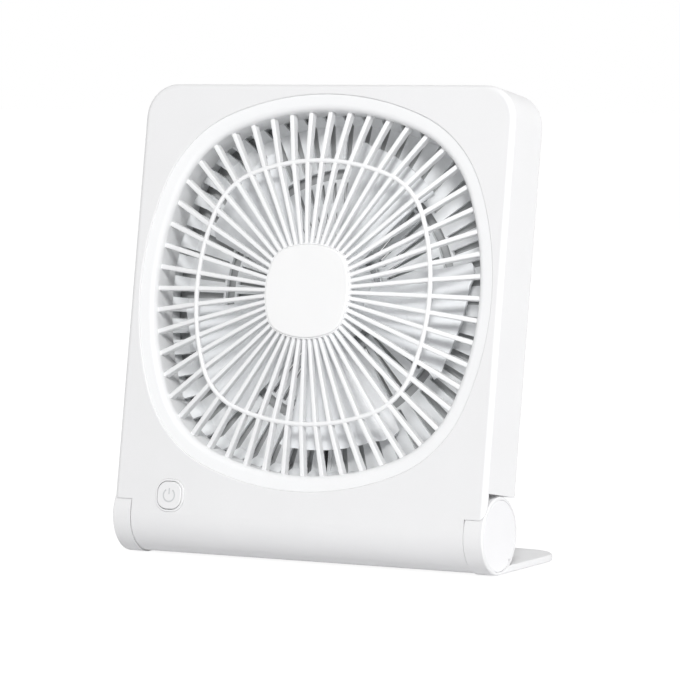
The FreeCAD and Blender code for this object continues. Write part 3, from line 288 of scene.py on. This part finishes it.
def moulded_plastic(name, white, roughness, grain, depth, mottle=0.012, painted_shades=()):
    """White moulded plastic: faint clouding of the colour, a fine texture and uneven gloss.

    Each painted shade is a depth where it starts, one where it is full, and its share of the white.
    """
    finish = Finish(name, roughness)
    dull, bright = shade(white, 1 - mottle), shade(white, 1 + mottle / 2)
    clouds = finish.spread(finish.noise(24 * MM, detail=3.0), 0, 1)
    fleck = finish.spread(finish.noise(1.3 * MM), 0, 0.5)
    tint = finish.blend(fleck, finish.blend(clouds, dull, bright), dull)
    # Painted shade: the colour darkens behind each depth, where shade falls inside the air way.
    for start, end, tone in painted_shades:
        tint = finish.blend(finish.behind(start, end), tint, shade(white, tone))
    uneven = 0.04
    gloss = finish.spread(finish.noise(9 * MM, detail=4.0), roughness - uneven, roughness + uneven)
    skin = finish.bump(finish.noise(grain, detail=3.0), depth)
    return finish.set(base_colour=tint, roughness=gloss, normal=skin)


def rubber(name, grey):
    """Matt rubber with a fine speckle."""
    finish = Finish(name, 0.8)
    speckle = finish.spread(finish.noise(0.5 * MM, detail=3.0), 0, 1)
    tint = finish.blend(speckle, shade(grey, 0.8), shade(grey, 1.35))
    gloss = finish.spread(finish.noise(3 * MM), 0.72, 0.9)
    return finish.set(base_colour=tint, roughness=gloss, normal=finish.bump(speckle, 0.03 * MM))


def turned_steel(name, grey, roughness, centre, turn):
    """Turned metal: fine rings about the piece's axis and a few scuffs."""
    finish = Finish(name, roughness, metallic=1.0)
    rings = finish.wave("RINGS", centre, turn, 1 / (0.9 * MM), distortion=0.6, detail=2.0)
    scuffs = finish.spread(finish.noise(4 * MM, detail=5.0), 0, 1)
    tint = finish.blend(scuffs, shade(grey, 0.9), grey)
    gloss = finish.spread(rings, roughness - 0.05, roughness + 0.09)
    skin = finish.bump(rings, 0.01 * MM, strength=0.5)
    return finish.set(base_colour=tint, roughness=gloss, normal=skin)


def plated_steel(name, grey):
    """Zinc-plated screws: mottled crystals with a dull shine."""
    finish = Finish(name, 0.35, metallic=1.0)
    cells = finish.add("TexVoronoi")
    finish.feed(cells, {"Vector": finish.place, "Scale": 1 / (0.7 * MM)})
    crystals = cells.outputs["Distance"]
    tint = finish.blend(crystals, shade(grey, 0.85), shade(grey, 1.1))
    gloss = finish.spread(crystals, 0.3, 0.42)
    return finish.set(base_colour=tint, roughness=gloss, normal=finish.bump(crystals, 0.008 * MM))


def stacked_sheets(name, grey, pitch):
    """Laminated iron: thin sheets along the motor's axis."""
    finish = Finish(name, 0.5, metallic=1.0)
    sheets = finish.wave("BANDS", motor_place, motor_turn, wave_scale(pitch))
    tint = finish.blend(sheets, shade(grey, 0.6), shade(grey, 1.1))
    gloss = finish.spread(finish.noise(2 * MM), 0.42, 0.6)
    return finish.set(base_colour=tint, roughness=gloss, normal=finish.bump(sheets, 0.05 * MM))


def wound_wire(name, tone, pitch):
    """Enamelled wire: turns that lie side by side round each pole."""
    finish = Finish(name, 0.3, metallic=1.0)
    turns = finish.wave("RINGS", motor_place, motor_turn, wave_scale(pitch), distortion=0.8)
    tint = finish.blend(turns, shade(tone, 0.45), shade(tone, 1.15))
    gloss = finish.spread(finish.noise(1.5 * MM), 0.24, 0.4)
    return finish.set(base_colour=tint, roughness=gloss, coat_weight=0.4,
                      normal=finish.bump(turns, 0.12 * MM))


def ferrite(name, grey):
    """Sintered magnet: dull, dark and slightly porous."""
    finish = Finish(name, 0.6)
    pores = finish.noise(0.4 * MM, detail=6.0)
    tint = finish.blend(finish.spread(pores, 0, 1), shade(grey, 0.7), shade(grey, 1.4))
    return finish.set(base_colour=tint, roughness=finish.spread(pores, 0.5, 0.75),
                      normal=finish.bump(pores, 0.04 * MM))


def circuit_board(name, green, tin):
    """Solder mask over copper tracks, with round tinned pads."""
    finish = Finish(name, 0.28)
    flat = finish.turned_place(hinge_place, upright_turn)
    bricks = finish.add("TexBrick", offset=0.37)
    finish.feed(bricks, {"Vector": flat, "Scale": 1 / (9 * MM), "Mortar Size": 0.05,
                         "Mortar Smooth": 0.3, "Brick Width": 0.9, "Row Height": 0.28})
    tracks = bricks.outputs["Fac"]
    dots = finish.add("TexVoronoi")
    finish.feed(dots, {"Vector": flat, "Scale": 1 / (2.6 * MM), "Randomness": 0.0})
    pads = finish.add("MapRange")
    finish.feed(pads, {"Value": dots.outputs["Distance"], "From Min": 0.16, "From Max": 0.20,
                       "To Min": 1.0, "To Max": 0.0})
    masked = finish.blend(tracks, green, shade(green, 1.9))
    tint = finish.blend(pads.outputs["Result"], masked, tin)
    gloss = finish.spread(finish.noise(2 * MM), 0.22, 0.36)
    return finish.set(base_colour=tint, roughness=gloss, normal=finish.bump(tracks, 0.03 * MM))


def black_plastic(name, grey):
    """Glass-filled black plastic with pale specks."""
    finish = Finish(name, 0.5)
    specks = finish.noise(0.3 * MM, detail=4.0)
    tint = finish.blend(finish.spread(specks, 0, 1), shade(grey, 0.8), shade(grey, 1.8))
    return finish.set(base_colour=tint, roughness=finish.spread(specks, 0.44, 0.58),
                      normal=finish.bump(specks, 0.02 * MM))


def shrink_sleeve(name, blue):
    """Heat-shrunk film: glossy, with faint wrinkles along the cell."""
    finish = Finish(name, 0.22)
    wrinkles = finish.add("Mapping", vector_type="POINT")
    finish.feed(wrinkles, {"Vector": finish.place, "Scale": (0.15, 1.0, 1.0)})
    folds = finish.noise(2.2 * MM, detail=3.0, vector=wrinkles.outputs["Vector"])
    tint = finish.blend(finish.spread(folds, 0, 1), shade(blue, 0.85), shade(blue, 1.15))
    return finish.set(base_colour=tint, roughness=finish.spread(folds, 0.18, 0.3),
                      coat_weight=0.3, normal=finish.bump(folds, 0.08 * MM))


def insulation(name, black):
    """Soft black insulation with a dull bloom."""
    finish = Finish(name, 0.5)
    bloom = finish.noise(5 * MM, detail=4.0)
    tint = finish.blend(finish.spread(bloom, 0, 1), shade(black, 0.8), shade(black, 1.7))
    return finish.set(base_colour=tint, roughness=finish.spread(bloom, 0.42, 0.6),
                      normal=finish.bump(finish.noise(0.4 * MM), 0.01 * MM))


def nodes_with(slot):
    """The fan's pieces whose record names this finish."""
    return [part["node"] for part in frame["record"]["subparts"] if part["material_slot"] == slot]


def upright_box(name):
    """Lowest and highest corners of a piece of the fan in its upright frame."""
    upright = body_place.inverted()
    points = [upright @ vertex.co for vertex in frame["nodes"][name].data.vertices]
    return [Vector(pick(point[axis] for point in points) for axis in range(3))
            for pick in (min, max)]


def dress(names, material):
    """Gives pieces of the fan their finish."""
    for name in names:
        piece = frame["nodes"][name]
        if not piece.material_slots:
            piece.data.materials.append(material)
        for slot in piece.material_slots:
            slot.material = material


class FAN_OT_case(bpy.types.Operator):
    """Finish the body shells, the stand, the ear caps and the badge."""

    bl_idname = "fan.case"
    bl_label = "Case and Stand"

    def execute(self, context):
        colours = context.scene.fan_colours
        skin = context.scene.fan_finish
        dress(nodes_with("case") + nodes_with("stand"), moulded_plastic(
            "textured_white", colours.case, skin.case_roughness, skin.grain, skin.grain_depth))
        dress(nodes_with("cap"), moulded_plastic(
            "ear_cap_white", colours.cap, skin.grille_roughness, skin.grain, skin.smooth_depth))
        dress(nodes_with("badge"), moulded_plastic(
            "badge_white", colours.badge, skin.grille_roughness, skin.grain, skin.smooth_depth))
        return {"FINISHED"}


class FAN_OT_grilles(bpy.types.Operator):
    """Finish the front grille, the rear grille and the impeller."""

    bl_idname = "fan.grilles"
    bl_label = "Grilles and Impeller"

    def execute(self, context):
        colours = context.scene.fan_colours
        skin = context.scene.fan_finish
        # Painted shade: the front grille's wall gets darker towards its deep end.
        wall_end = upright_box("front_grille")[1].y
        wall = (wall_end - skin.wall_fade, wall_end, skin.wall_painted_shade)
        dress(nodes_with("grille"), moulded_plastic(
            "front_grille_white", colours.grille, skin.grille_roughness, skin.grain,
            skin.smooth_depth, painted_shades=(wall,)))
        # Painted shade: the rear grille's inner walls get darker between its two layers, and its back face
        # stays white.
        back = upright_box("rear_grille")[1].y
        inside = (back - skin.inner_start, back - skin.inner_full, skin.inner_painted_shade)
        face = (back - skin.face_start, back - skin.face_full, 1.0)
        dress(nodes_with("rear"), moulded_plastic(
            "rear_grille_white", colours.rear, skin.case_roughness, skin.grain,
            skin.smooth_depth, mottle=0.03, painted_shades=(inside, face)))
        dress(nodes_with("blade"), moulded_plastic(
            "blade_white", colours.blade, skin.blade_roughness, skin.grain,
            skin.smooth_depth, mottle=0.03))
        return {"FINISHED"}


class FAN_OT_button(bpy.types.Operator):
    """Finish the power button, its ring, the rubber feet, the bushes and the brackets."""

    bl_idname = "fan.button"
    bl_label = "Button, Feet and Bushes"

    def execute(self, context):
        colours = context.scene.fan_colours
        works = context.scene.fan_works
        skin = context.scene.fan_finish
        dress(nodes_with("button"), moulded_plastic(
            "button_white", colours.button, skin.grille_roughness, skin.grain, skin.button_depth))
        dress(nodes_with("pad"), rubber("foot_rubber", colours.pad))
        dress(nodes_with("bush"), moulded_plastic(
            "natural_acetal", works.bush, skin.bush_roughness, skin.grain, skin.grain_depth,
            mottle=0.04))
        dress(nodes_with("bracket"), moulded_plastic(
            "bracket_grey", works.bracket, skin.bracket_roughness, skin.grain, skin.grain_depth,
            mottle=0.04))
        return {"FINISHED"}


class FAN_OT_works(bpy.types.Operator):
    """Finish the metal pieces, the motor, the boards, the cells and the leads."""

    bl_idname = "fan.works"
    bl_label = "Motor, Cells and Boards"

    sheet_pitch = 0.5 * MM
    wire_pitch = 0.4 * MM
    pin_roughness = 0.28
    steel_roughness = 0.24

    def execute(self, context):
        works = context.scene.fan_works
        pins = [name for name in nodes_with("steel") if name.startswith("hinge")]
        others = [name for name in nodes_with("steel") if name not in pins]
        dress(pins, turned_steel(
            "turned_pin", works.pin, self.pin_roughness, hinge_place, hinge_turn))
        dress(others, turned_steel(
            "turned_steel", works.steel, self.steel_roughness, motor_place, motor_turn))
        dress(nodes_with("screw"), plated_steel("zinc_plate", works.screw))
        dress(nodes_with("core"), stacked_sheets("laminations", works.core, self.sheet_pitch))
        dress(nodes_with("copper"), wound_wire("enamelled_wire", works.copper, self.wire_pitch))
        dress(nodes_with("magnet"), ferrite("ferrite", works.magnet))
        dress(nodes_with("board"), circuit_board("solder_mask", works.board, works.tin))
        dress(nodes_with("switch"), black_plastic("switch_black", works.switch))
        dress(nodes_with("cell"), shrink_sleeve("cell_sleeve", works.cell))
        dress(nodes_with("lead"), insulation("lead_black", works.lead))
        return {"FINISHED"}


def select_only(piece):
    """Leaves one object selected and active."""
    bpy.ops.object.select_all(action="DESELECT")
    piece.select_set(True)
    bpy.context.view_layer.objects.active = piece


def settle(piece, name):
    """Names a piece made in the upright frame and puts its place in its mesh."""
    piece.name = name
    piece.data.name = name
    select_only(piece)
    piece.matrix_world = body_place @ piece.matrix_world
    bpy.ops.object.transform_apply(location=True, rotation=True, scale=True)


class FAN_OT_power_mark(bpy.types.Operator):
    """Model the power mark: an open ring and a bar, low and rounded, on the button."""

    bl_idname = "fan.power_mark"
    bl_label = "Power Mark"

    line_sides = 16
    ring_steps = 40
    weld = 0.001 * MM
    smooth_angle = math.radians(40)

    def profile(self, start, turn, sizes):
        """The line's flat oval section, in edit mode and ready to be drawn out."""
        bpy.ops.object.select_all(action="DESELECT")
        bpy.ops.mesh.primitive_circle_add(
            vertices=self.line_sides, radius=sizes.stroke / 2, fill_type="NGON",
            location=start, rotation=(0, turn, 0))
        bpy.ops.object.mode_set(mode="EDIT")
        bpy.ops.mesh.select_all(action="SELECT")
        bpy.ops.transform.resize(value=(1, 2 * sizes.proud / sizes.stroke, 1))
        return bpy.context.object

    def execute(self, context):
        sizes = context.scene.fan_mark
        skin = context.scene.fan_finish
        low, high = upright_box("power_button")
        centre = Vector(((low.x + high.x) / 2, low.y, (low.z + high.z) / 2))
        first = math.pi / 2 + sizes.opening / 2
        start = centre + sizes.radius * Vector((math.cos(first), 0, math.sin(first)))
        ring = self.profile(start, -first, sizes)
        bpy.ops.mesh.spin(steps=self.ring_steps, angle=math.tau - sizes.opening,
                          center=centre, axis=(0, 1, 0))
        bpy.ops.object.mode_set(mode="OBJECT")

        top = centre + Vector((0, 0, sizes.radius + sizes.stroke / 2))
        bar = self.profile(top - Vector((0, 0, sizes.bar)), 0, sizes)
        bpy.ops.mesh.extrude_region_move(TRANSFORM_OT_translate={"value": (0, 0, sizes.bar)})
        bpy.ops.object.mode_set(mode="OBJECT")

        select_only(ring)
        bar.select_set(True)
        bpy.ops.object.join()
        bpy.ops.object.mode_set(mode="EDIT")
        bpy.ops.mesh.select_all(action="SELECT")
        bpy.ops.mesh.remove_doubles(threshold=self.weld)
        bpy.ops.mesh.normals_make_consistent(inside=False)
        bpy.ops.object.mode_set(mode="OBJECT")
        ring.data.materials.append(moulded_plastic(
            "mark_grey", context.scene.fan_colours.mark, skin.mark_roughness, skin.mark_grain,
            skin.mark_depth, mottle=0.03))
        settle(ring, "power_mark")
        bpy.ops.object.shade_smooth_by_angle(angle=self.smooth_angle)
        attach(ring, "button")
        return {"FINISHED"}


class FAN_OT_studio(bpy.types.Operator):
    """Set out the pale floor, the soft lamps, the white surroundings and the camera."""

    bl_idname = "fan.studio"
    bl_label = "Studio"

    def background_share(self, tree):
        """1 for rays that show the background: camera, glossy and transmission rays."""
        path = tree.nodes.new("ShaderNodeLightPath")
        total = path.outputs["Is Camera Ray"]
        for ray in ("Is Glossy Ray", "Is Transmission Ray"):
            either = tree.nodes.new("ShaderNodeMath")
            either.operation = "MAXIMUM"
            tree.links.new(total, either.inputs[0])
            tree.links.new(path.outputs[ray], either.inputs[1])
            total = either.outputs[0]
        return total

    def show_to_background(self, tree, output, hidden, shown):
        """Uses one shader where the background is seen and another for the rest."""
        seen = tree.nodes.new("ShaderNodeMixShader")
        tree.links.new(self.background_share(tree), seen.inputs["Fac"])
        tree.links.new(hidden.outputs[0], seen.inputs[1])
        tree.links.new(shown.outputs[0], seen.inputs[2])
        tree.links.new(seen.outputs[0], output.inputs["Surface"])

    def floor(self, studio):
        """A plain floor that looks white and still keeps the fan's shadow."""
        bpy.ops.object.select_all(action="DESELECT")
        bpy.ops.mesh.primitive_plane_add(size=studio.floor_size, location=(0, 0, 0))
        floor = bpy.context.object
        floor.name = "floor"
        material = bpy.data.materials.new("floor_white")
        material.use_nodes = True
        tree = material.node_tree
        tree.nodes.clear()
        output = tree.nodes.new("ShaderNodeOutputMaterial")
        bounce = tree.nodes.new("ShaderNodeBsdfDiffuse")
        bounce.inputs["Color"].default_value = (*studio.floor_bounce, 1)
        faint = tree.nodes.new("ShaderNodeBsdfDiffuse")
        faint.inputs["Color"].default_value = (*studio.floor_shaded, 1)
        glow = tree.nodes.new("ShaderNodeEmission")
        glow.inputs["Strength"].default_value = studio.floor_glow
        both = tree.nodes.new("ShaderNodeAddShader")
        tree.links.new(faint.outputs[0], both.inputs[0])
        tree.links.new(glow.outputs[0], both.inputs[1])
        self.show_to_background(tree, output, bounce, both)
        floor.data.materials.append(material)

    def surroundings(self, level):
        """Even light on the fan, and pure white wherever the background shows."""
        world = bpy.data.worlds.new("studio_white")
        bpy.context.scene.world = world
        world.use_nodes = True
        tree = world.node_tree
        tree.nodes.clear()
        output = tree.nodes.new("ShaderNodeOutputWorld")
        even = tree.nodes.new("ShaderNodeBackground")
        even.inputs["Color"].default_value = WHITE
        even.inputs["Strength"].default_value = level
        white = tree.nodes.new("ShaderNodeBackground")
        white.inputs["Color"].default_value = WHITE
        self.show_to_background(tree, output, even, white)

    def lamp(self, name, location, aim, size, power):
        """A round soft lamp that faces a point."""
        bpy.ops.object.light_add(type="AREA", location=location)
        lamp = bpy.context.object
        lamp.name = name
        direction = Vector(aim) - Vector(location)
        lamp.rotation_euler = direction.to_track_quat("-Z", "Y").to_euler()
        lamp.data.shape = "DISK"
        lamp.data.size = size
        lamp.data.energy = power

    def execute(self, context):
        studio = context.scene.fan_studio
        self.floor(studio)
        self.surroundings(studio.sky)
        self.lamp("key", studio.key_place, studio.lamp_aim, studio.key_size, studio.key)
        self.lamp("side", studio.side_place, studio.lamp_aim, studio.side_size, studio.side)
        bpy.ops.object.camera_add(location=studio.camera)
        camera = context.object
        direction = Vector(studio.aim) - Vector(studio.camera)
        camera.rotation_euler = direction.to_track_quat("-Z", "Y").to_euler()
        camera.data.lens = studio.lens
        camera.data.sensor_width = studio.sensor
        context.scene.camera = camera
        context.scene.view_settings.view_transform = "Standard"
        return {"FINISHED"}


class FAN_PT_panel(bpy.types.Panel):
    """Lists the fan's operators and settings."""

    bl_idname = "FAN_PT_panel"
    bl_label = "Table Fan"
    bl_space_type = "VIEW_3D"
    bl_region_type = "UI"
    bl_category = "Table Fan"

    def draw(self, context):
        for operator in operators:
            self.layout.operator(operator.bl_idname)
        for name in groups:
            box = self.layout.box()
            settings = getattr(context.scene, name)
            for key in settings.__annotations__:
                box.prop(settings, key)


operators = (FAN_OT_case, FAN_OT_grilles, FAN_OT_button, FAN_OT_works, FAN_OT_power_mark,
             FAN_OT_studio)
groups = {"fan_colours": FanColours, "fan_works": FanWorks, "fan_finish": FanFinish,
          "fan_mark": FanMark, "fan_studio": FanStudio}


def register():
    for group in groups.values():
        bpy.utils.register_class(group)
    for operator in operators:
        bpy.utils.register_class(operator)
    bpy.utils.register_class(FAN_PT_panel)
    for name, group in groups.items():
        setattr(bpy.types.Scene, name, bpy.props.PointerProperty(type=group))


def unregister():
    for name in groups:
        delattr(bpy.types.Scene, name)
    bpy.utils.unregister_class(FAN_PT_panel)
    for operator in operators:
        bpy.utils.unregister_class(operator)
    for group in groups.values():
        bpy.utils.unregister_class(group)


def main():
    register()
    bpy.ops.fan.studio()
    bpy.ops.fan.case()
    bpy.ops.fan.grilles()
    bpy.ops.fan.button()
    bpy.ops.fan.works()
    bpy.ops.fan.power_mark()


if __name__ == "__main__":
    main()
